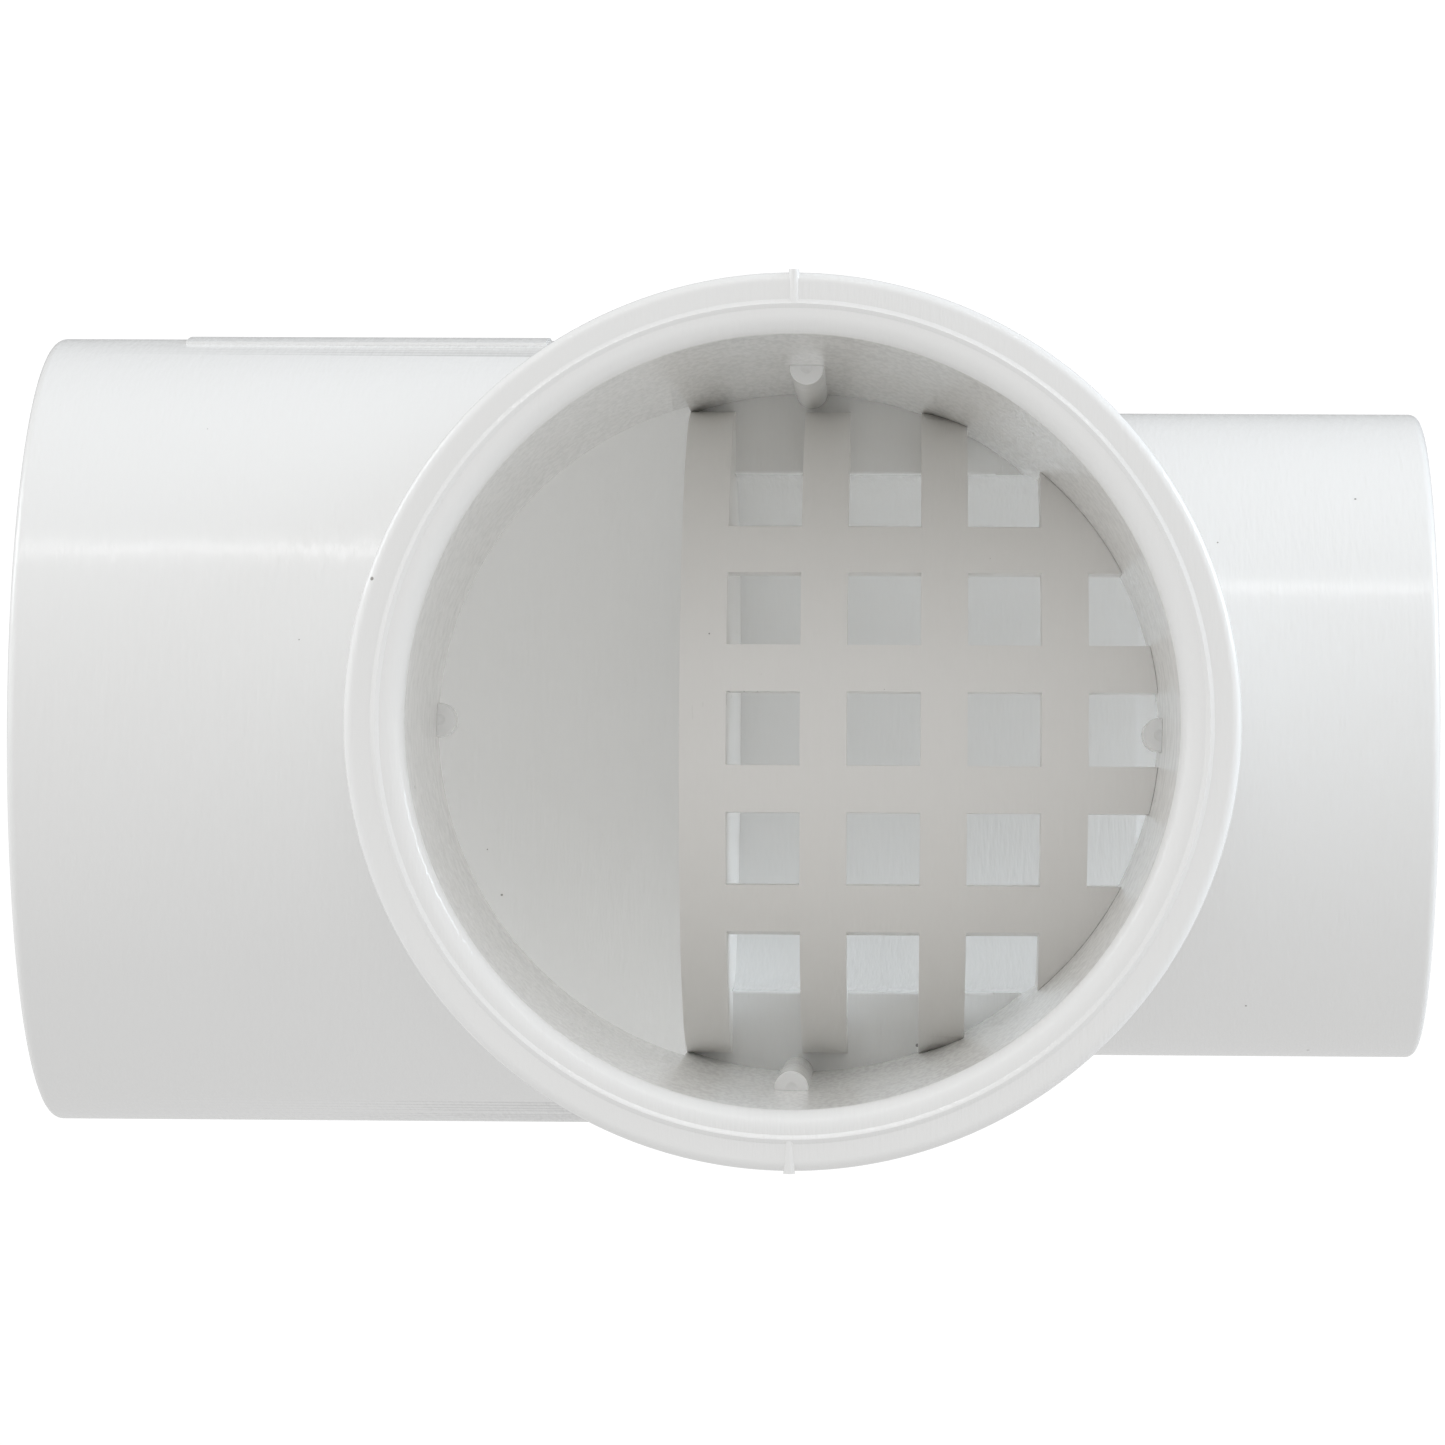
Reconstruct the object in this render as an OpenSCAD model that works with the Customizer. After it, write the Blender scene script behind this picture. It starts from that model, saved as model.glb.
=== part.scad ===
/* [Run, big end] */
// Outside diameter of the big hub
big_od = 70; // [66:0.5:96]
// Wall thickness of the big hub around its socket
big_wall = 4.75; // [3.5:0.05:5.5]
// Length of the big arm, from the branch axis to its end face
big_arm = 67; // [58:1:90]
// Depth of the big socket
big_socket_depth = 36; // [20:1:36]

/* [Run, small end] */
// Outside diameter of the small hub and of the arched grid
small_od = 57.4; // [48:0.2:70]
// Wall thickness of the small hub around its socket
small_wall = 4.45; // [3:0.05:5.4]
// Wall thickness of the small hub around the flow way behind the socket
flow_wall = 5.5; // [5.5:0.1:8]
// Length of the small arm, from the branch axis to its end face
small_arm = 54.5; // [50:0.5:80]
// Depth of the small socket
small_socket_depth = 24; // [15:1:24]
// Where the body's rounded shoulder ends, from the branch axis
shoulder_end = 22; // [20:0.5:28]
// Radius of the shoulder between the big hub and the small one
shoulder_round = 8; // [6:0.5:10]
// Length of the seat that joins the small end into the body
seat_l = 5; // [3:0.5:8]

/* [Branch] */
// Outside diameter of the branch hub
branch_od = 71; // [59:0.5:74]
// Wall thickness of the branch hub around its socket
branch_wall = 4.8; // [4:0.1:6]
// Height of the branch, from the run axis to its rim
branch_arm = 69; // [56:1:90]
// Radius of the rounded lip inside the rim
lip_round = 1.6; // [0.5:0.1:1.8]
// Rounding of every outside edge at the open ends
edge_round = 0.8; // [0.3:0.1:1]
// Distance of the raised line from the lip, across the rim face
rim_line_in = 0.7; // [0.4:0.1:1]
// Height of the raised line on the rim face
rim_line_h = 0.2; // [0.1:0.05:0.3]
// Width of the two gate marks on the rim
gate_w = 0.9; // [0.5:0.1:2]
// Draft angle of the two bores behind their sockets
bore_draft = 0.6; // [0.4:0.1:1]

/* [Strainer grid] */
// Place of the grid's closed end, left of the branch axis
grid_start = 10.3; // [6:0.1:14]
// Distance from one bar to the next
bar_pitch = 10.3; // [9:0.1:11]
// Width of a bar
bar_w = 4; // [3:0.1:5]
// Draft angle of the outward side of the long bars
bar_draft = 3; // [1:0.5:6]

/* [Stop posts] */
// Diameter of a stop post
post_d = 2.9; // [2:0.1:4]
// Height of the posts' ends above the highest bore or hub of the run
post_rise = 2.25; // [1:0.25:4]
// Distance of the posts' centres from the wall of the branch socket
post_inset = 0.2; // [0:0.1:0.6]
// Turn of the four posts about the branch axis
post_turn = 0.9; // [0:0.1:3]

/* [Blank pad] */
// Length of the raised blank pad on top of the big hub
pad_l = 32; // [20:1:36]
// Width of the raised blank pad
pad_w = 16; // [8:1:20]
// Height of the pad above the hub
pad_h = 0.25; // [0.1:0.05:0.4]
// Place of the pad's middle, from the branch axis towards the big end
pad_at = 39; // [36:1:45]

/* [Hidden] */
$fn = 192;
// Small overrun that keeps a cut from ending on a face
cut = 0.5;
// Gap between the grid and the branch wall beside it
grid_gap = 0.15;
// Gap between the grid's underside and the flow way, all round
arch_gap = 0.1;
// Gap between a stop post and the hub below it or the grid beside it
post_gap = 0.1;
// How far the gate marks stand out past the branch hub
gate_proud = 0.2;
// How far above the posts' ends the drafted bore turns into the straight branch socket
post_relief = 0.5;
// How deep the gate marks go into the rim
gate_depth = 3;
// Width of the raised line where it leaves the rim face
rim_line_w = 0.35;
// The bores that the hub walls leave
big_bore = big_od - 2 * big_wall;
small_bore = small_od - 2 * small_wall;
flow_bore = small_od - 2 * flow_wall;
branch_bore = branch_od - 2 * branch_wall;
// Where the two run sockets end
big_socket_end = big_arm - big_socket_depth;
small_socket_end = small_arm - small_socket_depth;
// Where the small end begins, inside the body
seat_start = shoulder_end - seat_l;
// Height of the posts' ends above the run axis
post_top = max(big_bore, small_od) / 2 + post_rise;
post_r = branch_bore / 2 - post_inset;
// Radius of the raised line on the rim face, and the level of that face
rim_line_r = branch_bore / 2 + lip_round + rim_line_in;
rim_level = branch_arm - rim_line_h;
// Where the branch's drafted bore ends, above the run axis
draft_top = post_top + post_relief;
// How much narrower than their sockets the drafted bores end
branch_narrowing = draft_top * tan(bore_draft);
big_narrowing = (big_socket_end + seat_start) * tan(bore_draft);
// The branch axis and the run axis in the frame of the resting part
branch_x = (big_arm - small_arm) / 2;
run_y = (branch_arm - max(big_od, small_od) / 2) / 2;
run_z = max(branch_od / 2 + gate_proud, big_od / 2 + pad_h, small_od / 2);
// The middles of the long bars, across the run
bar_rows = [-1.5, -0.5, 0.5, 1.5] * bar_pitch;
// The number of hoops between the closed end and the branch wall
hoop_count = ceil((branch_bore / 2 + grid_start) / bar_pitch);

// Puts the run axis along X and the branch towards -Y, resting on the floor
module place() {
    translate([branch_x, run_y, run_z]) children();
}

// A bar along X from x0 to x1, centred on the run axis
module along_run(d, x0, x1) {
    translate([x0, 0, 0]) rotate([0, 90, 0]) cylinder(d = d, h = x1 - x0);
}

// Half of space, as a big box: side 1 is the branch side of the run axis, side 0 the far side
module half(side) {
    reach = branch_arm + big_arm;
    translate([-reach, -side * reach, -reach]) cube([2 * reach, reach, 2 * reach]);
}

// The space inside the branch down to the run axis, held clear of its wall by gap
module branch_way(gap) {
    r = branch_bore / 2 - gap;
    rotate([90, 0, 0]) rotate_extrude() polygon([[0, 0], [r - branch_narrowing, 0],
        [r, draft_top], [r, branch_arm + cut], [0, branch_arm + cut]]);
}

// The space inside the big end: a straight socket, then a drafted bore up to the seat
module big_way() {
    r = big_bore / 2;
    rotate([0, 90, 0]) rotate_extrude() polygon([[0, -big_arm - cut], [r, -big_arm - cut],
        [r, -big_socket_end], [r - big_narrowing, seat_start], [0, seat_start]]);
}

// A hub along +Z whose outer edge at the far end is rounded
module rounded_hub(d, h, r) {
    rotate_extrude() union() {
        square([d / 2 - r, h]);
        square([d / 2, h - r]);
        translate([d / 2 - r, h - r]) circle(r = r);
    }
}

// The outside of the branch hub, with the raised line on its rim
module branch_hub() {
    rotate([90, 0, 0]) rounded_hub(branch_od, rim_level, edge_round);
    translate([0, -rim_level, 0]) rotate([90, 0, 0]) rotate_extrude()
        polygon([[rim_line_r - rim_line_w, -rim_line_h], [rim_line_r, rim_line_h],
            [rim_line_r + rim_line_w, -rim_line_h]]);
    for (side = [0, 180]) rotate([0, side, 0]) gate_mark();
}

// A thin radial rib across the rim face, left by the mould
module gate_mark() {
    translate([-gate_w / 2, -branch_arm + rim_line_h / 2, rim_line_r])
        cube([gate_w, gate_depth, branch_od / 2 + gate_proud - rim_line_r]);
}

// What the rounded lip takes off the mouth of the branch
module branch_lip() {
    rotate([90, 0, 0]) rotate_extrude() difference() {
        translate([0, rim_level - lip_round])
            square([branch_bore / 2 + lip_round, lip_round + rim_line_h + cut]);
        translate([branch_bore / 2 + lip_round, rim_level - lip_round]) circle(r = lip_round);
    }
}

// The raised blank pad that sits on top of the big hub
module blank_pad() {
    intersection() {
        along_run(big_od + 2 * pad_h, -pad_at - pad_l / 2, -pad_at + pad_l / 2);
        translate([-pad_at - pad_l / 2, -pad_w / 2, 0]) cube([pad_l, pad_w, big_od]);
    }
}

// Outside of the big run hub, which ends in a rounded shoulder behind the branch
module run_shell() {
    rotate([0, -90, 0]) rounded_hub(big_od, big_arm, edge_round);
    rotate([0, 90, 0]) rounded_hub(big_od, shoulder_end, shoulder_round);
    blank_pad();
}

// The near half is bored only up to the grid's closed end, the far half up to the seat
module tee_body() {
    color("#eceae6") place() difference() {
        union() {
            run_shell();
            branch_hub();
        }
        intersection() {
            big_way();
            union() {
                half(0);
                translate([-grid_start - 2 * big_arm, -big_od, -big_od])
                    cube([2 * big_arm, 2 * big_od, 2 * big_od]);
            }
        }
        along_run(flow_bore, -grid_start, seat_start + cut);
        along_run(small_od, seat_start, branch_od);
        branch_way(0);
        branch_lip();
    }
}

module small_end() {
    color("#eceae6") place() difference() {
        translate([seat_start, 0, 0]) rotate([0, 90, 0])
            rounded_hub(small_od, small_arm - seat_start, edge_round);
        along_run(flow_bore, seat_start - cut, small_arm + cut);
        along_run(small_bore, small_socket_end, small_arm + cut);
        branch_way(0);
    }
}

// Fills the far half of the run under the grid, around the flow way
module flow_floor() {
    color("#c9c7c3") place() difference() {
        intersection() {
            big_way();
            half(0);
            translate([-grid_start, -big_od, -big_od])
                cube([grid_start + seat_start, 2 * big_od, 2 * big_od]);
        }
        along_run(flow_bore, -grid_start - cut, seat_start + cut);
    }
}

// A straight opening between two hoops and two long bars, reaching down to the floor
module grid_window(hoop, z0, z1) {
    translate([-grid_start + bar_w + hoop * bar_pitch, -small_od, z0])
        cube([bar_pitch - bar_w, small_od, z1 - z0]);
}

// The outermost openings, whose bar side leans by the draft angle
module side_window(hoop) {
    inner = bar_rows[3] + bar_w / 2;
    edge_h = small_od / 2 * cos(asin(min(2 * inner / small_od, 1)));
    lean_low = (edge_h + cut) * tan(bar_draft);
    lean_high = (small_od - edge_h) * tan(bar_draft);
    translate([-grid_start + bar_w + hoop * bar_pitch, 0, 0])
        rotate([90, 0, 90]) linear_extrude(bar_pitch - bar_w)
        polygon([[cut, inner + lean_low], [cut, small_od], [-small_od, small_od],
            [-small_od, inner - lean_high]]);
}

// Keeps the hoops clear of the two long posts, whatever the hubs' sizes
module post_room() {
    for (turn = [-90, 90]) rotate([0, turn + post_turn, 0]) translate([post_r, cut, 0])
        rotate([90, 0, 0]) cylinder(d = post_d + 2 * post_gap, h = post_top + cut);
}

module strainer_grid() {
    color("#c4c0bb") place() difference() {
        intersection() {
            along_run(small_od, -grid_start, branch_od);
            half(1);
            branch_way(grid_gap);
        }
        along_run(flow_bore + 2 * arch_gap, -grid_start - cut, branch_od);
        for (hoop = [0:hoop_count - 1]) {
            for (row = [0:2])
                grid_window(hoop, bar_rows[row] + bar_w / 2, bar_rows[row + 1] - bar_w / 2);
            for (side = [0, 1]) mirror([0, 0, side]) side_window(hoop);
        }
        post_room();
    }
}

// The disc that closes the grid's big-end side, so that all flow passes the grid
module end_wall() {
    color("#c4c0bb") place() along_run(flow_bore, -grid_start, -grid_start + bar_w);
}

// A half-round post on the branch wall, from y0 above the run axis to the posts' top
module stop_post(turn, y0) {
    intersection() {
        rotate([0, turn + post_turn, 0]) translate([post_r, -y0, 0]) rotate([90, 0, 0])
            cylinder(d = post_d, h = post_top - y0);
        branch_way(0);
    }
}

module stop_post_top() {
    color("#dedcd8") place() stop_post(-90, 0);
}

module stop_post_bottom() {
    color("#dedcd8") place() stop_post(90, 0);
}

module stop_post_big_side() {
    color("#dedcd8") place() stop_post(180, big_bore / 2);
}

module stop_post_small_side() {
    color("#dedcd8") place() stop_post(0, small_od / 2 + post_gap);
}

tee_body();
small_end();
flow_floor();
strainer_grid();
end_wall();
stop_post_top();
stop_post_bottom();
stop_post_big_side();
stop_post_small_side();
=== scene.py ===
"""A white moulded PVC reducing tee with an arched strainer grid, in a bright studio.

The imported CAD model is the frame. Each CAD piece is replaced by a finer mesh of the same size and
place, dressed in moulded PVC, and the camera looks straight into the branch.
"""

from __future__ import annotations

import logging
import math
from dataclasses import dataclass, field
from enum import Enum
from typing import Callable, Iterable, Optional, Sequence

import bmesh
import bpy
from mathutils import Matrix, Vector


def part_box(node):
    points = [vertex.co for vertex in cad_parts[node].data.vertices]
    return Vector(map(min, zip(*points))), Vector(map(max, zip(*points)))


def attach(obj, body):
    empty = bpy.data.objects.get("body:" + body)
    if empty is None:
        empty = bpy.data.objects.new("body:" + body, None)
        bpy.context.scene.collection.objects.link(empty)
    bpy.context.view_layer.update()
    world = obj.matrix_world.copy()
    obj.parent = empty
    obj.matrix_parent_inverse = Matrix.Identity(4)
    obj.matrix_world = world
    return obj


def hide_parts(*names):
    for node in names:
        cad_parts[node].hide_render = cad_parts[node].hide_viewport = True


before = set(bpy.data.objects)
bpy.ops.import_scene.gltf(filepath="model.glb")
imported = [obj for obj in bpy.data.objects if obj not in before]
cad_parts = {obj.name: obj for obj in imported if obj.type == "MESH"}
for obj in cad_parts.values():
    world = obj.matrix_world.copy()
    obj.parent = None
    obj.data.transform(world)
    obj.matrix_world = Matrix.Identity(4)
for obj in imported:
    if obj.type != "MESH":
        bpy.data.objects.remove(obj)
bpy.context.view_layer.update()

log = logging.getLogger("pvc_tee")

MM = 0.001
ROUND_STEPS = 256
# How near two points of a turned outline have to be to count as one, in metres
SAME_POINT = 1e-7
# The longest edge that a cut may leave behind as a sliver
SLIVER = 0.002 * MM
# How near an edge has to be to a surface to count as lying on it
ON_SURFACE = 0.1 * MM
# The range that most of a noise texture's values fall in
NOISE_RANGE = {"From Min": 0.38, "From Max": 0.62}

Point = tuple[float, float]


class Axis(Enum):
    """The directions that a turned piece can point in."""

    BIG_END = (-1.0, 0.0, 0.0)
    SMALL_END = (1.0, 0.0, 0.0)
    BRANCH = (0.0, -1.0, 0.0)


class Cut(Enum):
    """How one solid changes another."""

    JOIN = "UNION"
    REMOVE = "DIFFERENCE"
    KEEP_COMMON = "INTERSECT"


# ---------------------------------------------------------------- colours and shader nodes


def linear(hex_colour: str) -> tuple[float, float, float, float]:
    """Turns an sRGB hex colour into linear RGBA.

    Args:
        hex_colour: Six hex digits.

    Returns:
        The colour as Blender's shader sockets take it.
    """
    channels = [int(hex_colour[i:i + 2], 16) / 255 for i in (0, 2, 4)]
    red, green, blue = (c / 12.92 if c <= 0.04045 else ((c + 0.055) / 1.055) ** 2.4 for c in channels)
    return (red, green, blue, 1.0)


def add_node(tree: bpy.types.NodeTree, kind: str, values: Optional[dict] = None,
             links: Optional[dict] = None, **settings: object) -> bpy.types.Node:
    """Adds a shader node with its settings, socket values and incoming links.

    Args:
        tree: The node tree that the node goes into.
        kind: The node's Blender type name.
        values: Input socket name or number to value.
        links: Input socket name or number to the output socket that feeds it.
        settings: Attributes of the node itself.

    Returns:
        The new node.
    """
    node = tree.nodes.new(kind)
    for name, value in settings.items():
        setattr(node, name, value)
    for key, value in (values or {}).items():
        node.inputs[key].default_value = value
    for key, source in (links or {}).items():
        tree.links.new(source, node.inputs[key])
    return node


@dataclass(frozen=True)
class MouldedPvc:
    """Rigid PVC, injection moulded: a smooth skin that copies the polished mould.

    The mould's turned core and cavity leave rings too fine to feel, which break up a highlight, and
    a handled fitting carries a little grey dust and a few dark specks.
    """

    name: str
    base: str
    shade: str
    dust: str = "6F6A62"
    tone_mm: float = 28.0
    roughness: float = 0.14
    polished: float = 0.04
    handled: float = 0.06
    ior: float = 1.53
    ring_mm: float = 0.4
    ring_length_mm: float = 2.4
    ring_depth_mm: float = 0.045
    ring_polish: float = 0.015
    sag_mm: float = 9.0
    sag_depth_mm: float = 0.03
    speck_mm: float = 1.5
    speck_amount: float = 0.045
    speck_share: float = 0.12
    speck_strength: float = 0.75

    def make(self, turned_about: Axis = Axis.SMALL_END) -> bpy.types.Material:
        """Builds the material.

        Args:
            turned_about: The axis that the mould's fine turning rings go round.

        Returns:
            The finished material.
        """
        mat = bpy.data.materials.new(f"{self.name}_{turned_about.name.lower()}")
        mat.use_nodes = True
        tree = mat.node_tree
        tree.nodes.clear()
        place = add_node(tree, "ShaderNodeTexCoord").outputs["Object"]

        # Slow change of tone, as the melt front leaves it
        tone = add_node(tree, "ShaderNodeTexNoise", {"Scale": 1 / (self.tone_mm * MM), "Detail": 3.0},
                        {"Vector": place})
        base = add_node(tree, "ShaderNodeMix", {"A": linear(self.base), "B": linear(self.shade)},
                        {"Factor": tone.outputs["Fac"]}, data_type="RGBA")

        # Dark specks of dust and a few burnt grains, up to 0.36 mm across
        cells = add_node(tree, "ShaderNodeTexVoronoi", {"Scale": 1 / (self.speck_mm * MM)}, {"Vector": place})
        pick = add_node(tree, "ShaderNodeSeparateColor", None, {"Color": cells.outputs["Color"]})
        size = add_node(tree, "ShaderNodeMapRange",
                        {"From Min": 1 - self.speck_amount, "From Max": 1.0, "To Min": 0.0,
                         "To Max": self.speck_share}, {"Value": pick.outputs["Red"]})
        speck = add_node(tree, "ShaderNodeMath", None,
                         {0: cells.outputs["Distance"], 1: size.outputs["Result"]}, operation="LESS_THAN")
        faint = add_node(tree, "ShaderNodeMath", {1: self.speck_strength}, {0: speck.outputs[0]},
                         operation="MULTIPLY")
        dusty = add_node(tree, "ShaderNodeMix", {"B": linear(self.dust)},
                         {"Factor": faint.outputs[0], "A": base.outputs["Result"]}, data_type="RGBA")

        # Turning rings: noise squeezed along the axis that the tool turned about
        squeeze = [1 / (self.ring_length_mm * MM)] * 3
        squeeze[[abs(c) for c in turned_about.value].index(1.0)] = 1 / (self.ring_mm * MM)
        along = add_node(tree, "ShaderNodeMapping", {"Scale": squeeze}, {"Vector": place})
        rings = add_node(tree, "ShaderNodeTexNoise", {"Scale": 1.0, "Detail": 2.0},
                         {"Vector": along.outputs["Vector"]})
        ring_bump = add_node(tree, "ShaderNodeBump", {"Strength": 1.0, "Distance": self.ring_depth_mm * MM},
                             {"Height": rings.outputs["Fac"]})
        # Slight sink marks, broad and shallow
        sag = add_node(tree, "ShaderNodeTexNoise", {"Scale": 1 / (self.sag_mm * MM), "Detail": 1.0},
                       {"Vector": place})
        bump = add_node(tree, "ShaderNodeBump", {"Strength": 1.0, "Distance": self.sag_depth_mm * MM},
                        {"Height": sag.outputs["Fac"], "Normal": ring_bump.outputs["Normal"]})
        # Handling dulls the skin a little in patches
        wear = add_node(tree, "ShaderNodeMapRange",
                        {"To Min": self.roughness - self.polished, "To Max": self.roughness + self.handled},
                        {"Value": tone.outputs["Fac"]})
        # Each ring is polished a little differently, which breaks a long highlight into ticks
        polish = add_node(tree, "ShaderNodeMapRange",
                          {**NOISE_RANGE, "To Min": -self.ring_polish, "To Max": 2 * self.ring_polish},
                          {"Value": rings.outputs["Fac"]})
        rough = add_node(tree, "ShaderNodeMath", None,
                         {0: wear.outputs["Result"], 1: polish.outputs["Result"]}, operation="ADD")
        skin = add_node(tree, "ShaderNodeBsdfPrincipled", {"IOR": self.ior},
                        {"Base Color": dusty.outputs["Result"], "Roughness": rough.outputs[0],
                         "Normal": bump.outputs["Normal"]})
        add_node(tree, "ShaderNodeOutputMaterial", None, {"Surface": skin.outputs["BSDF"]})
        return mat


# ---------------------------------------------------------------- shapes


def new_object(name: str, mesh: bmesh.types.BMesh) -> bpy.types.Object:
    """Turns a bmesh into an object at the origin.

    Args:
        name: The object's name.
        mesh: The finished bmesh, which is freed.

    Returns:
        The new object, linked into the scene.
    """
    bmesh.ops.recalc_face_normals(mesh, faces=mesh.faces)
    data = bpy.data.meshes.new(name)
    mesh.to_mesh(data)
    mesh.free()
    obj = bpy.data.objects.new(name, data)
    bpy.context.scene.collection.objects.link(obj)
    return obj


def arc(centre: Point, radius: float, start: float, end: float, steps: int = 6) -> list[Point]:
    """Points along a circular arc.

    Args:
        centre: The arc's centre.
        radius: Its radius.
        start: Start angle in degrees.
        end: End angle in degrees.
        steps: How many straight steps make the arc.

    Returns:
        The arc's points, both ends included.
    """
    angles = [math.radians(start + (end - start) * i / steps) for i in range(steps + 1)]
    return [(centre[0] + radius * math.cos(a), centre[1] + radius * math.sin(a)) for a in angles]


def turned(profile: Sequence[Point], origin: Vector, axis: Axis,
           steps: int = ROUND_STEPS) -> bmesh.types.BMesh:
    """Spins a closed outline about an axis.

    Args:
        profile: (radius, distance along the axis) of the outline, in metres.
        origin: A point on the axis, where the distance is zero.
        axis: The direction of the axis.
        steps: How many steps the full turn has.

    Returns:
        The solid of revolution.
    """
    mesh = bmesh.new()
    direction = Vector(axis.value)
    side = Vector((0, 0, 1))
    points = [mesh.verts.new(origin + side * r + direction * d) for r, d in profile]
    edges = [mesh.edges.new((a, b)) for a, b in zip(points, points[1:])]
    if profile[0][0] > 0 and profile[-1][0] > 0:
        edges.append(mesh.edges.new((points[-1], points[0])))
    bmesh.ops.spin(mesh, geom=points + edges, cent=origin, axis=direction, angle=math.tau, steps=steps,
                   use_merge=True)
    bmesh.ops.remove_doubles(mesh, verts=mesh.verts, dist=SAME_POINT)
    return mesh


def box_mesh(low: Vector, high: Vector) -> bmesh.types.BMesh:
    """A box between two corners.

    Args:
        low: The lowest corner.
        high: The highest corner.

    Returns:
        The box.
    """
    mesh = bmesh.new()
    size = high - low
    spot = Matrix.Translation((low + high) / 2) @ Matrix.Diagonal((*size, 1.0))
    bmesh.ops.create_cube(mesh, size=1.0, matrix=spot)
    return mesh


def combine(target: bpy.types.Object, tool: bpy.types.Object, cut: Cut) -> None:
    """Joins, cuts or intersects a solid with another, which is used up.

    Args:
        target: The solid that is changed.
        tool: The solid that changes it.
        cut: Which of the three it is.
    """
    modifier = target.modifiers.new("cut", "BOOLEAN")
    modifier.operation = cut.value
    modifier.object = tool
    modifier.solver = "EXACT"
    apply_modifiers(target)
    bpy.data.objects.remove(tool, do_unlink=True)


def apply_modifiers(obj: bpy.types.Object) -> None:
    """Bakes an object's modifiers into its mesh.

    Args:
        obj: The object.
    """
    bpy.context.view_layer.update()
    graph = bpy.context.evaluated_depsgraph_get()
    done = bpy.data.meshes.new_from_object(obj.evaluated_get(graph))
    obj.modifiers.clear()
    old = obj.data
    obj.data = done
    bpy.data.meshes.remove(old)


def tidy(obj: bpy.types.Object) -> None:
    """Merges the slivers and doubles that a cut leaves.

    Args:
        obj: The object.
    """
    mesh = bmesh.new()
    mesh.from_mesh(obj.data)
    bmesh.ops.remove_doubles(mesh, verts=mesh.verts, dist=2 * SLIVER)
    bmesh.ops.dissolve_degenerate(mesh, dist=SLIVER, edges=mesh.edges)
    mesh.to_mesh(obj.data)
    mesh.free()


def bevel_edges(obj: bpy.types.Object, width: float, segments: int,
                chosen: Callable[[Vector, float], bool]) -> None:
    """Rounds the edges that a test picks.

    Args:
        obj: The object.
        width: How far the bevel reaches from the edge, in metres.
        segments: How many faces round it.
        chosen: Says of an edge's middle and its angle in degrees whether it is rounded.
    """
    mesh = bmesh.new()
    mesh.from_mesh(obj.data)
    edges = [e for e in mesh.edges if len(e.link_faces) == 2
             and chosen((e.verts[0].co + e.verts[1].co) / 2, math.degrees(e.calc_face_angle(0.0)))]
    bmesh.ops.bevel(mesh, geom=edges, offset=width, offset_type="OFFSET", segments=segments, profile=0.5,
                    affect="EDGES", clamp_overlap=True, material=-1)
    mesh.to_mesh(obj.data)
    mesh.free()


def smooth(obj: bpy.types.Object, sharp_angle: float = 30.0) -> None:
    """Shades an object smooth, with creases where its faces meet at more than an angle.

    Args:
        obj: The object.
        sharp_angle: The angle in degrees.
    """
    obj.data.shade_smooth()
    mesh = bmesh.new()
    mesh.from_mesh(obj.data)
    limit = math.radians(sharp_angle)
    for edge in mesh.edges:
        edge.smooth = len(edge.link_faces) == 2 and edge.calc_face_angle(0.0) < limit
    mesh.to_mesh(obj.data)
    mesh.free()
    weighted = obj.modifiers.new("even normals", "WEIGHTED_NORMAL")
    weighted.keep_sharp = True
    weighted.weight = 80


def finish_piece(obj: bpy.types.Object, material: bpy.types.Material, node: str) -> None:
    """Dresses a piece and puts it in the place of its CAD node.

    Args:
        obj: The finished piece.
        material: What it is made of.
        node: The CAD node that it replaces.
    """
    obj.data.materials.clear()
    obj.data.materials.append(material)
    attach(obj, "root")
    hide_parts(node)
    log.info("%s: %d faces", obj.name, len(obj.data.polygons))


# ---------------------------------------------------------------- the tee's own sizes


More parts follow.
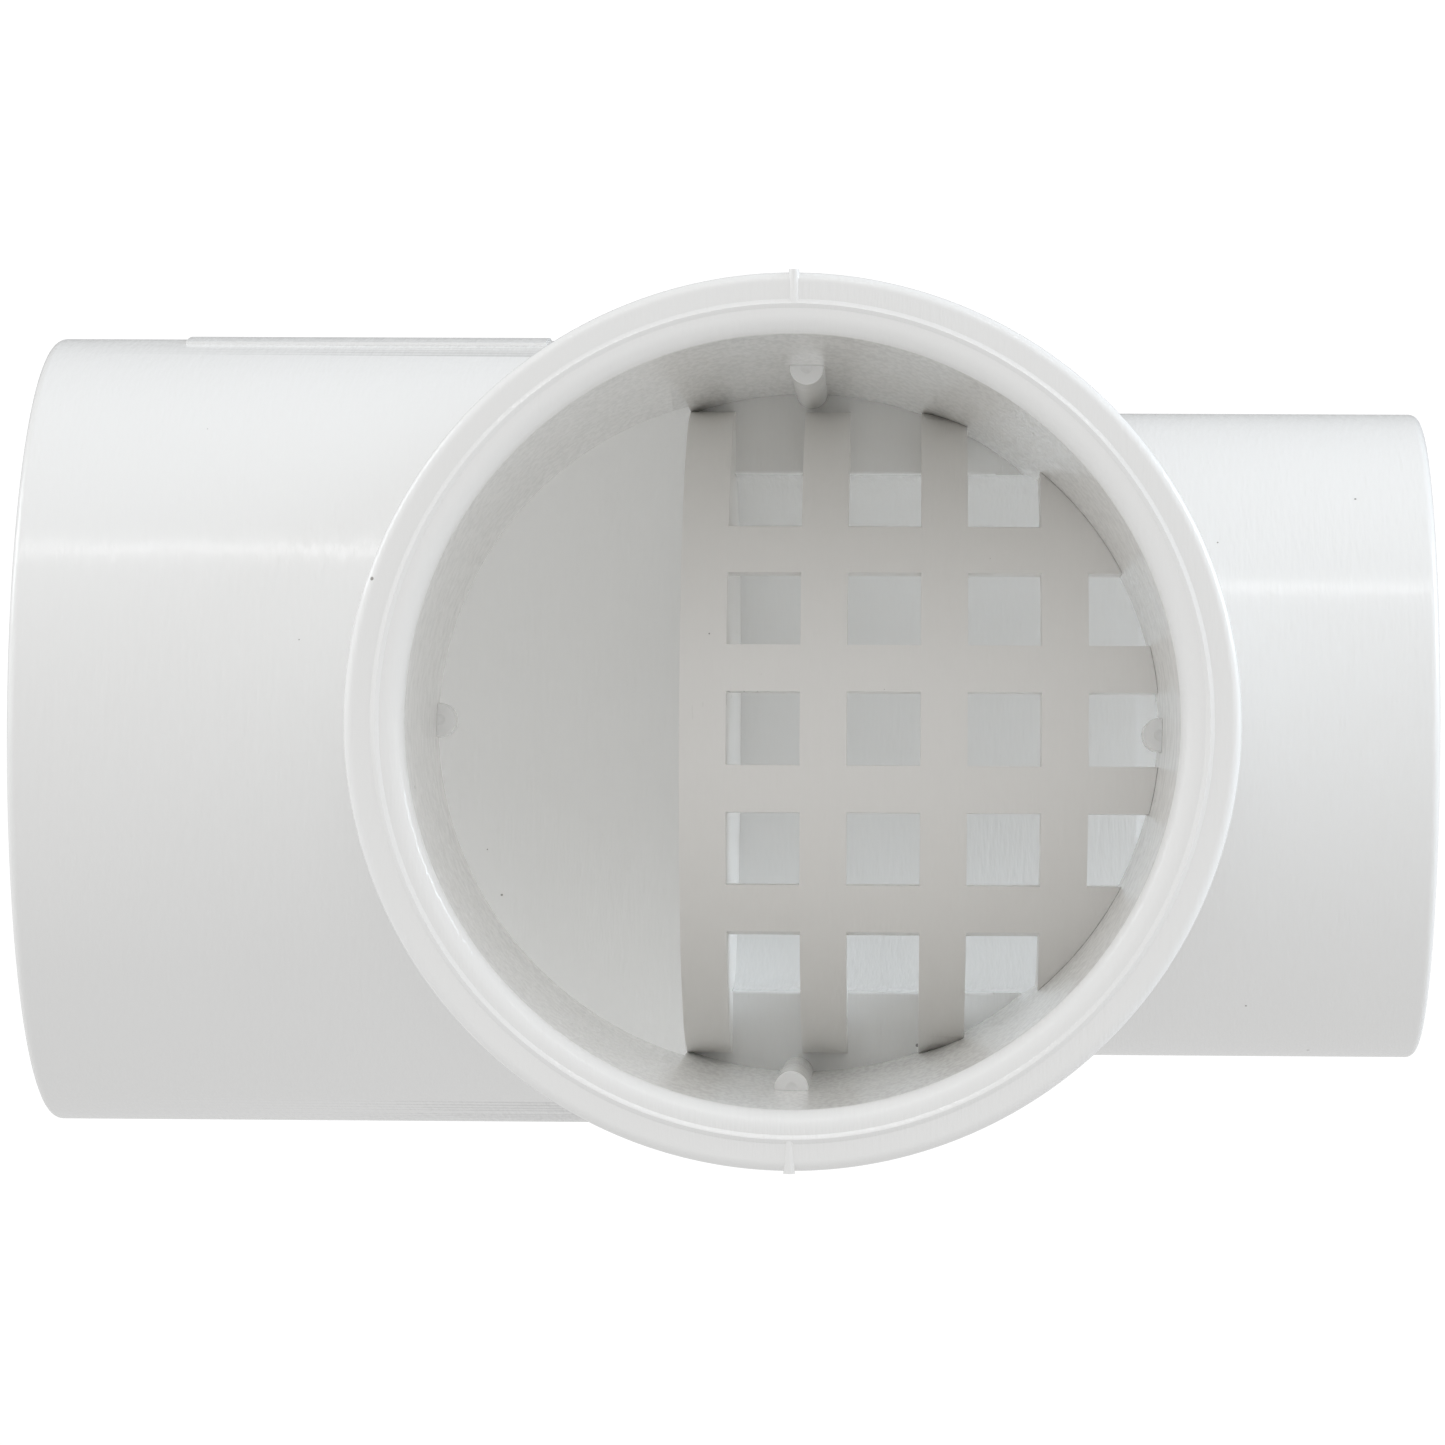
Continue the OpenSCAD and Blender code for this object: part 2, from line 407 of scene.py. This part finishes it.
@dataclass
class TeeFrame:
    """Where the tee's axes are, and its main sizes, read from the CAD nodes."""

    branch_bore: float = 61.4 * MM
    big_bore: float = 60.5 * MM
    flow_bore: float = 46.4 * MM
    big_socket: float = 36.0 * MM
    draft_top: float = 33.0 * MM
    bore_draft: float = 0.6
    grid_start: float = 10.3 * MM
    gate_proud: float = 0.2 * MM
    centre: Vector = field(init=False)
    big_r: float = field(init=False)
    small_r: float = field(init=False)
    branch_r: float = field(init=False)
    big_arm: float = field(init=False)
    small_arm: float = field(init=False)
    branch_arm: float = field(init=False)
    seat: float = field(init=False)

    def __post_init__(self) -> None:
        """Works the sizes out from the boxes of the CAD nodes."""
        body_low, body_high = (Vector(v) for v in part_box("tee_body"))
        small_low, small_high = (Vector(v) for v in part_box("small_end"))
        wall_low, wall_high = (Vector(v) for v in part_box("end_wall"))
        self.small_r = (small_high.z - small_low.z) / 2
        self.branch_r = (body_high.z - body_low.z) / 2 - self.gate_proud
        middle = (wall_low + wall_high) / 2
        self.big_r = body_high.y - middle.y
        branch_x = (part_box("stop_post_top")[0][0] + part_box("stop_post_bottom")[1][0]) / 2
        self.centre = Vector((branch_x, middle.y, middle.z))
        self.big_arm = branch_x - body_low.x
        self.small_arm = small_high.x - branch_x
        self.branch_arm = middle.y - body_low.y
        self.seat = small_low.x - branch_x

    def branch_space(self, clear: float, top: float) -> bmesh.types.BMesh:
        """Builds the space inside the branch: a drafted bore, then the straight socket.

        Args:
            clear: How far the space stays from the branch wall.
            top: Where it ends above the run axis.

        Returns:
            The solid.
        """
        r = self.branch_bore / 2 - clear
        low = r - self.draft_top * math.tan(math.radians(self.bore_draft))
        outline = [(0.0, 0.0), (low, 0.0), (r, self.draft_top), (r, top), (0.0, top)]
        return turned(outline, self.centre, Axis.BRANCH)

    def big_space(self, end: float) -> bmesh.types.BMesh:
        """Builds the space inside the big end: the straight socket, then a drafted bore.

        Args:
            end: Where it ends, from the branch axis towards the small end.

        Returns:
            The solid.
        """
        r, socket_end = self.big_bore / 2, self.big_socket - self.big_arm
        slope = math.tan(math.radians(self.bore_draft))
        outline = [(0.0, -self.big_arm - MM), (r, -self.big_arm - MM), (r, socket_end),
                   (r - (end - socket_end) * slope, end), (0.0, end)]
        return turned(outline, self.centre, Axis.SMALL_END)


def far_half(tee: TeeFrame, lap: float = 0.0) -> bpy.types.Object:
    """Builds a box that holds the half of the run away from the branch.

    Args:
        tee: The tee's sizes.
        lap: How far the box reaches past the run axis into the near half.

    Returns:
        The box.
    """
    reach = 2 * tee.big_arm
    low = tee.centre + Vector((-reach, -lap, -reach))
    return new_object("far_half", box_mesh(low, tee.centre + Vector((reach, reach, reach))))


@dataclass
class TeeBody:
    """The white shell: big hub, shoulder, branch hub, blank pad and the marks of the mould."""

    tee: TeeFrame
    edge_round: float = 0.8 * MM
    shoulder_end: float = 22.0 * MM
    shoulder_round: float = 8.0 * MM
    lip_round: float = 1.6 * MM
    rim_line_r: float = 33.0 * MM
    rim_line_h: float = 0.2 * MM
    rim_line_w: float = 0.35 * MM
    rim_line_step: float = 0.8
    gate_w: float = 0.9 * MM
    gate_taper: float = 0.9
    gate_sink: float = 0.28
    pad_l: float = 32.0 * MM
    pad_w: float = 16.0 * MM
    pad_h: float = 0.25 * MM
    pad_at: float = 39.0 * MM
    blend: float = 2.4 * MM
    blend_reach: float = 26.0 * MM
    blend_start: float = 2.0 * MM
    blend_angle: float = 14.0
    lap: float = 0.02 * MM

    def big_hub(self) -> bpy.types.Object:
        """Builds the outside of the run, from the big end to the shoulder.

        Returns:
            The solid.
        """
        r, far = self.tee.big_r, self.tee.big_arm
        corner = self.edge_round
        outline = [(0.0, far), (r - corner, far)]
        outline += arc((r - corner, far - corner), corner, 90, 0)[1:]
        shoulder = self.shoulder_round
        outline += arc((r - shoulder, shoulder - self.shoulder_end), shoulder, 0, -90, 12)
        outline.append((0.0, -self.shoulder_end))
        return new_object("big_hub", turned(outline, self.tee.centre, Axis.BIG_END))

    def branch_hub(self) -> bpy.types.Object:
        """Builds the outside of the branch, with the raised line on its rim.

        Returns:
            The solid.
        """
        r, far = self.tee.branch_r, self.tee.branch_arm - self.rim_line_h
        corner, line, half = self.edge_round, self.rim_line_r, self.rim_line_w
        step = far + self.rim_line_h * self.rim_line_step
        outline = [(0.0, far), (line - half, far), (line - half / 4, step),
                   (line, far + self.rim_line_h), (line + half / 4, step),
                   (line + half, far), (r - corner, far)]
        outline += arc((r - corner, far - corner), corner, 90, 0)[1:]
        outline += [(r, 0.0), (0.0, 0.0)]
        return new_object("branch_hub", turned(outline, self.tee.centre, Axis.BRANCH))

    def branch_way(self) -> bpy.types.Object:
        """Builds the space inside the branch, down to the run axis, with the rounded lip.

        Returns:
            The solid to cut away.
        """
        r, far = self.tee.branch_bore / 2, self.tee.branch_arm - self.rim_line_h
        lip, top = self.lip_round, self.tee.draft_top
        low = r - top * math.tan(math.radians(self.tee.bore_draft))
        outline = [(0.0, far + 2 * lip), (r + lip, far + 2 * lip)]
        outline += arc((r + lip, far - lip), lip, 90, 180, 10)
        outline += [(r, top), (low, 0.0), (0.0, 0.0)]
        return new_object("branch_way", turned(outline, self.tee.centre, Axis.BRANCH))

    def plug(self, radius: float, near: float, far: float) -> bpy.types.Object:
        """Builds a bar along the run, to cut a bore with.

        Args:
            radius: The bar's radius.
            near: Where it starts, from the branch axis towards the small end.
            far: Where it ends.

        Returns:
            The solid.
        """
        outline = [(0.0, near), (radius, near), (radius, far), (0.0, far)]
        return new_object("plug", turned(outline, self.tee.centre, Axis.SMALL_END))

    def gate_mark(self, side: float) -> bpy.types.Object:
        """Builds one thin rib across the rim face.

        Args:
            side: 1 at the top of the rim, -1 at the bottom.

        Returns:
            The rib.
        """
        start, end = self.rim_line_r, self.tee.branch_r + self.tee.gate_proud
        mesh = bmesh.new()
        length = end - start
        bmesh.ops.create_cone(mesh, cap_ends=True, segments=16, radius1=self.gate_w / 2,
                              radius2=self.gate_w / 2 * self.gate_taper, depth=length,
                              matrix=Matrix.Translation((0, 0, side * (start + length / 2))))
        level = -self.tee.branch_arm + self.rim_line_h + self.gate_w * self.gate_sink
        bmesh.ops.translate(mesh, verts=mesh.verts, vec=self.tee.centre + Vector((0, level, 0)))
        return new_object("gate_mark", mesh)

    def blank_pad(self) -> bpy.types.Object:
        """Builds the low blank pad on top of the big hub.

        Returns:
            The solid.
        """
        tee, r = self.tee, self.tee.big_r + self.pad_h
        near, far = self.pad_at - self.pad_l / 2, self.pad_at + self.pad_l / 2
        pad = new_object("blank_pad", turned([(0.0, near), (r, near), (r, far), (0.0, far)], tee.centre,
                                             Axis.BIG_END))
        low = tee.centre + Vector((-tee.big_arm, -self.pad_w / 2, 0))
        combine(pad, new_object("pad_sides", box_mesh(low, tee.centre + Vector((0, self.pad_w / 2, 2 * r)))),
                Cut.KEEP_COMMON)
        return pad

    def build(self) -> bpy.types.Object:
        """Joins and cuts the body.

        Returns:
            The finished body.
        """
        body = self.big_hub()
        body.name = body.data.name = "tee_body_shell"
        combine(body, self.branch_hub(), Cut.JOIN)
        centre, tee = self.tee.centre, self.tee

        def on_seam(middle: Vector, angle: float) -> bool:
            """Says whether an edge is on the seam between the two hubs."""
            spot = middle - centre
            off_run = abs(math.hypot(spot.y, spot.z) - tee.big_r)
            off_branch = abs(math.hypot(spot.x, spot.z) - tee.branch_r)
            within = abs(spot.z) < self.blend_reach and spot.y < -self.blend_start
            return within and angle > self.blend_angle and max(off_run, off_branch) < ON_SURFACE

        tidy(body)
        bevel_edges(body, self.blend, 5, on_seam)
        combine(body, self.blank_pad(), Cut.JOIN)
        for side in (1.0, -1.0):
            combine(body, self.gate_mark(side), Cut.JOIN)
        combine(body, new_object("big_way", tee.big_space(-tee.grid_start)), Cut.REMOVE)
        far_way = new_object("far_way", tee.big_space(tee.seat + self.lap))
        combine(far_way, far_half(tee, self.lap), Cut.KEEP_COMMON)
        combine(body, far_way, Cut.REMOVE)
        combine(body, self.plug(tee.flow_bore / 2, -tee.grid_start, tee.seat + MM), Cut.REMOVE)
        combine(body, self.plug(tee.small_r, tee.seat, tee.branch_r + MM), Cut.REMOVE)
        combine(body, self.branch_way(), Cut.REMOVE)
        tidy(body)
        smooth(body)
        return body


@dataclass
class SmallEnd:
    """The white hub of the small run end, cut away where the branch passes."""

    tee: TeeFrame
    edge_round: float = 0.8 * MM
    socket_bore: float = 48.5 * MM
    socket_depth: float = 24.0 * MM
    mouth_round: float = 0.6 * MM

    def build(self, branch_way: bpy.types.Object) -> bpy.types.Object:
        """Builds the hub.

        Args:
            branch_way: The space inside the branch, which is used up.

        Returns:
            The finished hub.
        """
        tee, corner = self.tee, self.edge_round
        far, r, bore = tee.small_arm, tee.small_r, self.socket_bore / 2
        flow, mouth = tee.flow_bore / 2, self.mouth_round
        outline = [(flow, tee.seat), (r, tee.seat)]
        outline += arc((r - corner, far - corner), corner, 0, 90)
        outline += arc((bore + mouth, far - mouth), mouth, 90, 180)
        outline += [(bore, far - self.socket_depth), (flow, far - self.socket_depth)]
        hub = new_object("small_end_hub", turned(outline, tee.centre, Axis.SMALL_END))
        combine(hub, branch_way, Cut.REMOVE)
        tidy(hub)
        smooth(hub)
        return hub


@dataclass
class FlowFloor:
    """The floor at the level of the run axis, with the trough of the flow way."""

    tee: TeeFrame
    start: float
    edge_round: float = 0.3 * MM
    lip_reach: float = 12.0 * MM
    lip_angle: float = 60.0

    def build(self) -> bpy.types.Object:
        """Builds the floor.

        Returns:
            The finished floor.
        """
        tee = self.tee
        inner, slope = tee.flow_bore / 2, math.tan(math.radians(tee.bore_draft))
        end = tee.big_bore / 2 - (tee.seat + tee.big_arm - tee.big_socket) * slope
        start = end + (tee.seat - self.start) * slope
        outline = [(inner, self.start), (start, self.start), (end, tee.seat), (inner, tee.seat)]
        floor = new_object("flow_floor_trough", turned(outline, tee.centre, Axis.SMALL_END))
        combine(floor, far_half(tee), Cut.KEEP_COMMON)
        tidy(floor)
        middle_x = tee.centre.x + (self.start + tee.seat) / 2

        def on_trough_lip(middle: Vector, angle: float) -> bool:
            """Says whether an edge is one of the trough's two long lips."""
            radius = math.hypot(middle.y - tee.centre.y, middle.z - tee.centre.z)
            along = abs(middle.x - middle_x) < self.lip_reach
            return along and angle > self.lip_angle and abs(radius - inner) < ON_SURFACE

        bevel_edges(floor, self.edge_round, 3, on_trough_lip)
        smooth(floor)
        return floor


@dataclass
class StrainerGrid:
    """The arched grid: hoops across the run and long bars along it, drafted for the mould."""

    tee: TeeFrame
    start: float
    outer_r: float
    pitch: float = 10.3 * MM
    bar_w: float = 4.0 * MM
    draft: float = 3.0
    window_draft: float = 1.5
    gap: float = 0.02 * MM
    under_gap: float = 0.1 * MM
    window_round: float = 0.35 * MM
    round_angle: float = 40.0

    def shell(self) -> bpy.types.Object:
        """Builds the arch without its windows.

        Returns:
            The half shell.
        """
        tee = self.tee
        inner, far = tee.flow_bore / 2 + self.under_gap, tee.branch_bore
        outline = [(inner, self.start), (self.outer_r, self.start), (self.outer_r, far), (inner, far)]
        arch = new_object("strainer_grid_arch", turned(outline, tee.centre, Axis.SMALL_END))
        combine(arch, new_object("reach", tee.branch_space(self.gap, tee.branch_arm)), Cut.KEEP_COMMON)
        return arch

    def window(self, hoop: int, outline: Sequence[Point]) -> bpy.types.Object:
        """Builds the cutter of one window.

        Args:
            hoop: Which gap between two hoops it is, counted from the closed end.
            outline: (across the run, towards the branch) corners, in metres.

        Returns:
            The cutter.
        """
        mesh = bmesh.new()
        left = self.start + self.bar_w + hoop * self.pitch
        centre = self.tee.centre
        corners = [mesh.verts.new(centre + Vector((left, -depth, across))) for across, depth in outline]
        face = mesh.faces.new(corners)
        made = bmesh.ops.extrude_face_region(mesh, geom=[face])
        moved = [v for v in made["geom"] if isinstance(v, bmesh.types.BMVert)]
        bmesh.ops.translate(mesh, verts=moved, vec=Vector((self.pitch - self.bar_w, 0, 0)))
        return new_object("window", mesh)

    def outlines(self) -> Iterable[Sequence[Point]]:
        """Gives the outline of every window between two hoops.

        Yields:
            Each outline, for the three middle rows and then the two sides.
        """
        high = 2 * self.outer_r
        for row in (-1, 0, 1):
            half = (self.pitch - self.bar_w) / 2
            middle = row * self.pitch
            taper = math.tan(math.radians(self.window_draft)) * self.outer_r / 2
            yield [(middle - half + taper, -MM), (middle + half - taper, -MM),
                   (middle + half + taper, high), (middle - half - taper, high)]
        inner = 1.5 * self.pitch + self.bar_w / 2
        slope = math.tan(math.radians(self.draft))
        level = math.sqrt(self.outer_r ** 2 - inner ** 2)
        low, top = inner + (level + MM) * slope, inner - (high - level) * slope
        for side in (1.0, -1.0):
            yield [(side * low, -MM), (side * high, -MM), (side * high, high), (side * top, high)]

    def build(self) -> bpy.types.Object:
        """Cuts the windows and rounds their edges.

        Returns:
            The finished grid.
        """
        grid = self.shell()
        count = math.ceil((self.tee.branch_bore / 2 - self.start) / self.pitch)
        for hoop in range(count):
            outlines = list(self.outlines())
            # Beside the branch wall, the last two hoops leave no room for the side windows
            for outline in outlines[:3] if hoop == count - 1 else outlines:
                combine(grid, self.window(hoop, outline), Cut.REMOVE)
        tidy(grid)
        bevel_edges(grid, self.window_round, 3, lambda middle, angle: angle > self.round_angle)
        smooth(grid)
        return grid


@dataclass
class EndWall:
    """The disc that closes the grid's big-end side."""

    tee: TeeFrame
    start: float
    end: float
    edge_round: float = 0.25 * MM

    def build(self) -> bpy.types.Object:
        """Builds the disc.

        Returns:
            The finished disc.
        """
        r, corner = self.tee.flow_bore / 2, self.edge_round
        outline = [(0.0, self.start)]
        outline += arc((r - corner, self.start + corner), corner, -90, 0, 3)
        outline += arc((r - corner, self.end - corner), corner, 0, 90, 3)
        outline.append((0.0, self.end))
        disc = new_object("end_wall_disc", turned(outline, self.tee.centre, Axis.SMALL_END))
        smooth(disc)
        return disc


@dataclass
class StopPost:
    """One half-round post on the branch wall, with a small dimple in its end."""

    tee: TeeFrame
    node: str
    turn: float
    off_turn: float = 0.9
    place_r: float = 30.5 * MM
    r: float = 1.45 * MM
    edge_round: float = 0.22 * MM
    dimple_r: float = 0.5 * MM
    dimple_depth: float = 0.16 * MM
    dimple_shoulder: float = 0.12 * MM
    dimple_foot: float = 0.6
    wall_gap: float = 0.01 * MM

    def build(self) -> bpy.types.Object:
        """Builds the post.

        Returns:
            The finished post.
        """
        low, high = (Vector(v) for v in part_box(self.node))
        start, end = self.tee.centre.y - high.y, self.tee.centre.y - low.y
        corner, dip = self.edge_round, self.dimple_r
        outline = [(0.0, start), (self.r, start)]
        outline += arc((self.r - corner, end - corner), corner, 0, 90, 4)
        outline += [(dip, end), (dip * self.dimple_foot, end - self.dimple_shoulder),
                    (0.0, end - self.dimple_depth)]
        post = new_object(f"{self.node}_pin", turned(outline, self.tee.centre, Axis.BRANCH, 48))
        angle = math.radians(self.turn - self.off_turn)
        shift = Vector((math.cos(angle), 0, math.sin(angle))) * self.place_r
        post.data.transform(Matrix.Translation(shift))
        reach = self.tee.branch_space(self.wall_gap, self.tee.branch_arm)
        combine(post, new_object("reach", reach), Cut.KEEP_COMMON)
        tidy(post)
        smooth(post)
        return post


# ---------------------------------------------------------------- studio


@dataclass
class Studio:
    """A bright table-top studio: white floor and surround, softboxes on all sides, and a strip light."""

    tee: TeeFrame
    distance: float = 570.6 * MM
    bounces: int = 14
    diffuse_bounces: int = 12
    lens: float = 158.5
    turn: tuple[float, float, float] = (90.84, -0.33, 1.61)
    aside: float = 8.7 * MM
    below: float = 7.5 * MM
    white: float = 1.05
    floor_glow: float = 0.68
    horizon: float = 0.56
    overhead: float = 0.76
    behind: float = 0.6
    sides: float = 0.75

    def camera(self) -> None:
        """Puts the camera in front of the branch, a little low and towards the small end."""
        data = bpy.data.cameras.new("camera")
        data.lens = self.lens
        data.sensor_width = 36.0
        data.clip_start, data.clip_end = 0.01, 20.0
        cam = bpy.data.objects.new("camera", data)
        cam.location = self.tee.centre + Vector((self.aside, -self.distance, -self.below))
        cam.rotation_euler = [math.radians(a) for a in self.turn]
        bpy.context.scene.collection.objects.link(cam)
        bpy.context.scene.camera = cam

    def floor(self) -> None:
        """Lays a white floor under the tee."""
        mesh = bmesh.new()
        bmesh.ops.create_grid(mesh, x_segments=1, y_segments=1, size=6.0)
        obj = new_object("studio_floor", mesh)
        mat = bpy.data.materials.new("white_floor")
        mat.use_nodes = True
        tree = mat.node_tree
        tree.nodes.clear()
        seen = add_node(tree, "ShaderNodeLightPath").outputs["Is Camera Ray"]
        glow = add_node(tree, "ShaderNodeMapRange", {"To Min": self.floor_glow, "To Max": self.white},
                        {"Value": seen})
        lit = add_node(tree, "ShaderNodeEmission", {"Color": linear("FFFFFF")},
                       {"Strength": glow.outputs["Result"]})
        add_node(tree, "ShaderNodeOutputMaterial", None, {"Surface": lit.outputs["Emission"]})
        obj.data.materials.append(mat)

    def surround(self) -> None:
        """Sets the surround: brighter above, dimmer behind and below."""
        world = bpy.data.worlds.new("studio")
        bpy.context.scene.world = world
        world.use_nodes = True
        tree = world.node_tree
        tree.nodes.clear()
        way = add_node(tree, "ShaderNodeTexCoord").outputs["Generated"]
        part = add_node(tree, "ShaderNodeSeparateXYZ", None, {"Vector": way})
        height = add_node(tree, "ShaderNodeMapRange",
                          {"From Min": -0.1, "From Max": 0.6, "To Min": self.horizon,
                           "To Max": self.overhead}, {"Value": part.outputs["Z"]})
        behind = add_node(tree, "ShaderNodeMapRange",
                          {"From Min": -0.2, "From Max": 0.6, "To Min": 1.0, "To Max": self.behind},
                          {"Value": part.outputs["Y"]})
        sky_part = add_node(tree, "ShaderNodeMath", None,
                            {0: height.outputs["Result"], 1: behind.outputs["Result"]}, operation="MULTIPLY")
        aside = add_node(tree, "ShaderNodeMath", None, {0: part.outputs["X"]}, operation="ABSOLUTE")
        sides = add_node(tree, "ShaderNodeMapRange",
                         {"From Min": 0.75, "From Max": 1.0, "To Min": 0.0, "To Max": self.sides},
                         {"Value": aside.outputs[0]})
        studio = add_node(tree, "ShaderNodeMath", None,
                          {0: sky_part.outputs[0], 1: sides.outputs["Result"]}, operation="ADD")
        seen = add_node(tree, "ShaderNodeLightPath").outputs["Is Camera Ray"]
        glow = add_node(tree, "ShaderNodeMix", {"B": self.white}, {"Factor": seen, "A": studio.outputs[0]},
                        data_type="FLOAT")
        sky = add_node(tree, "ShaderNodeBackground", {"Color": linear("FFFFFF")},
                       {"Strength": glow.outputs[0]})
        add_node(tree, "ShaderNodeOutputWorld", None, {"Surface": sky.outputs["Background"]})

    def light(self, name: str, size: Point, power: float, where: Vector, tint: str = "FFFFFF") -> None:
        """Hangs a rectangular light that faces the tee.

        Args:
            name: The light's name.
            size: Its width and height in metres.
            power: Its power in watts.
            where: Its place, from the crossing of the tee's axes.
            tint: Its colour, as sRGB hex.
        """
        data = bpy.data.lights.new(name, "AREA")
        data.color = linear(tint)[:3]
        data.shape = "RECTANGLE"
        data.size, data.size_y = size
        data.energy = power
        lamp = bpy.data.objects.new(name, data)
        lamp.location = self.tee.centre + where
        lamp.rotation_euler = (-where).to_track_quat("-Z", "Y").to_euler()
        bpy.context.scene.collection.objects.link(lamp)

    def build(self) -> None:
        """Sets the whole studio up, with light that can bounce often inside the white bores."""
        scene = bpy.context.scene
        scene.view_settings.view_transform = "Standard"
        scene.cycles.max_bounces = self.bounces
        scene.cycles.diffuse_bounces = self.diffuse_bounces
        self.camera()
        self.floor()
        self.surround()
        self.light("overhead_softbox", (1.6, 0.9), 0.15, Vector((0, -0.7, 1.3)))
        self.light("strip_light", (1.8, 0.045), 1.4, Vector((0, -0.71, 0.915)))
        self.light("small_end_softbox", (0.3, 0.3), 2.0, Vector((0.65, 0.0, 0.28)), "E2F1FF")
        self.light("big_end_softbox", (0.3, 0.3), 0.8, Vector((-0.6, 0.0, 0.33)), "F4FAFF")
        for side in (1, -1):
            self.light(f"side_softbox_{side}", (1.1, 1.1), 0.85, Vector((side * 0.8, -0.9, 0.0)))


def main() -> None:
    """Builds the tee piece by piece, then the studio."""
    logging.basicConfig(level=logging.INFO, format="%(name)s: %(message)s")
    tee = TeeFrame()
    white = MouldedPvc("injection_moulded_white_pvc", "F6F6F5", "F3F3F2")
    grey = MouldedPvc("injection_moulded_grey_white_pvc", "F3F1EE", "EFEDEA", roughness=0.3)
    white_run = white.make(Axis.SMALL_END)
    white_branch = white.make(Axis.BRANCH)
    grey_run = grey.make(Axis.SMALL_END)

    Studio(tee).build()
    shell = TeeBody(tee)
    finish_piece(shell.build(), white_run, "tee_body")
    finish_piece(SmallEnd(tee).build(shell.branch_way()), white_run, "small_end")

    wall_low, wall_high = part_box("end_wall")
    start, end = wall_low[0] - tee.centre.x, wall_high[0] - tee.centre.x
    grid_low, grid_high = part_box("strainer_grid")
    outer_r = (grid_high[2] - grid_low[2]) / 2
    finish_piece(FlowFloor(tee, start).build(), white_run, "flow_floor")
    finish_piece(StrainerGrid(tee, start, outer_r).build(), grey_run, "strainer_grid")
    finish_piece(EndWall(tee, start, end).build(), grey_run, "end_wall")

    posts = {"stop_post_top": 90.0, "stop_post_bottom": -90.0, "stop_post_big_side": 180.0,
             "stop_post_small_side": 0.0}
    for node, turn in posts.items():
        finish_piece(StopPost(tee, node, turn).build(), white_branch, node)


if __name__ == "__main__":
    main()
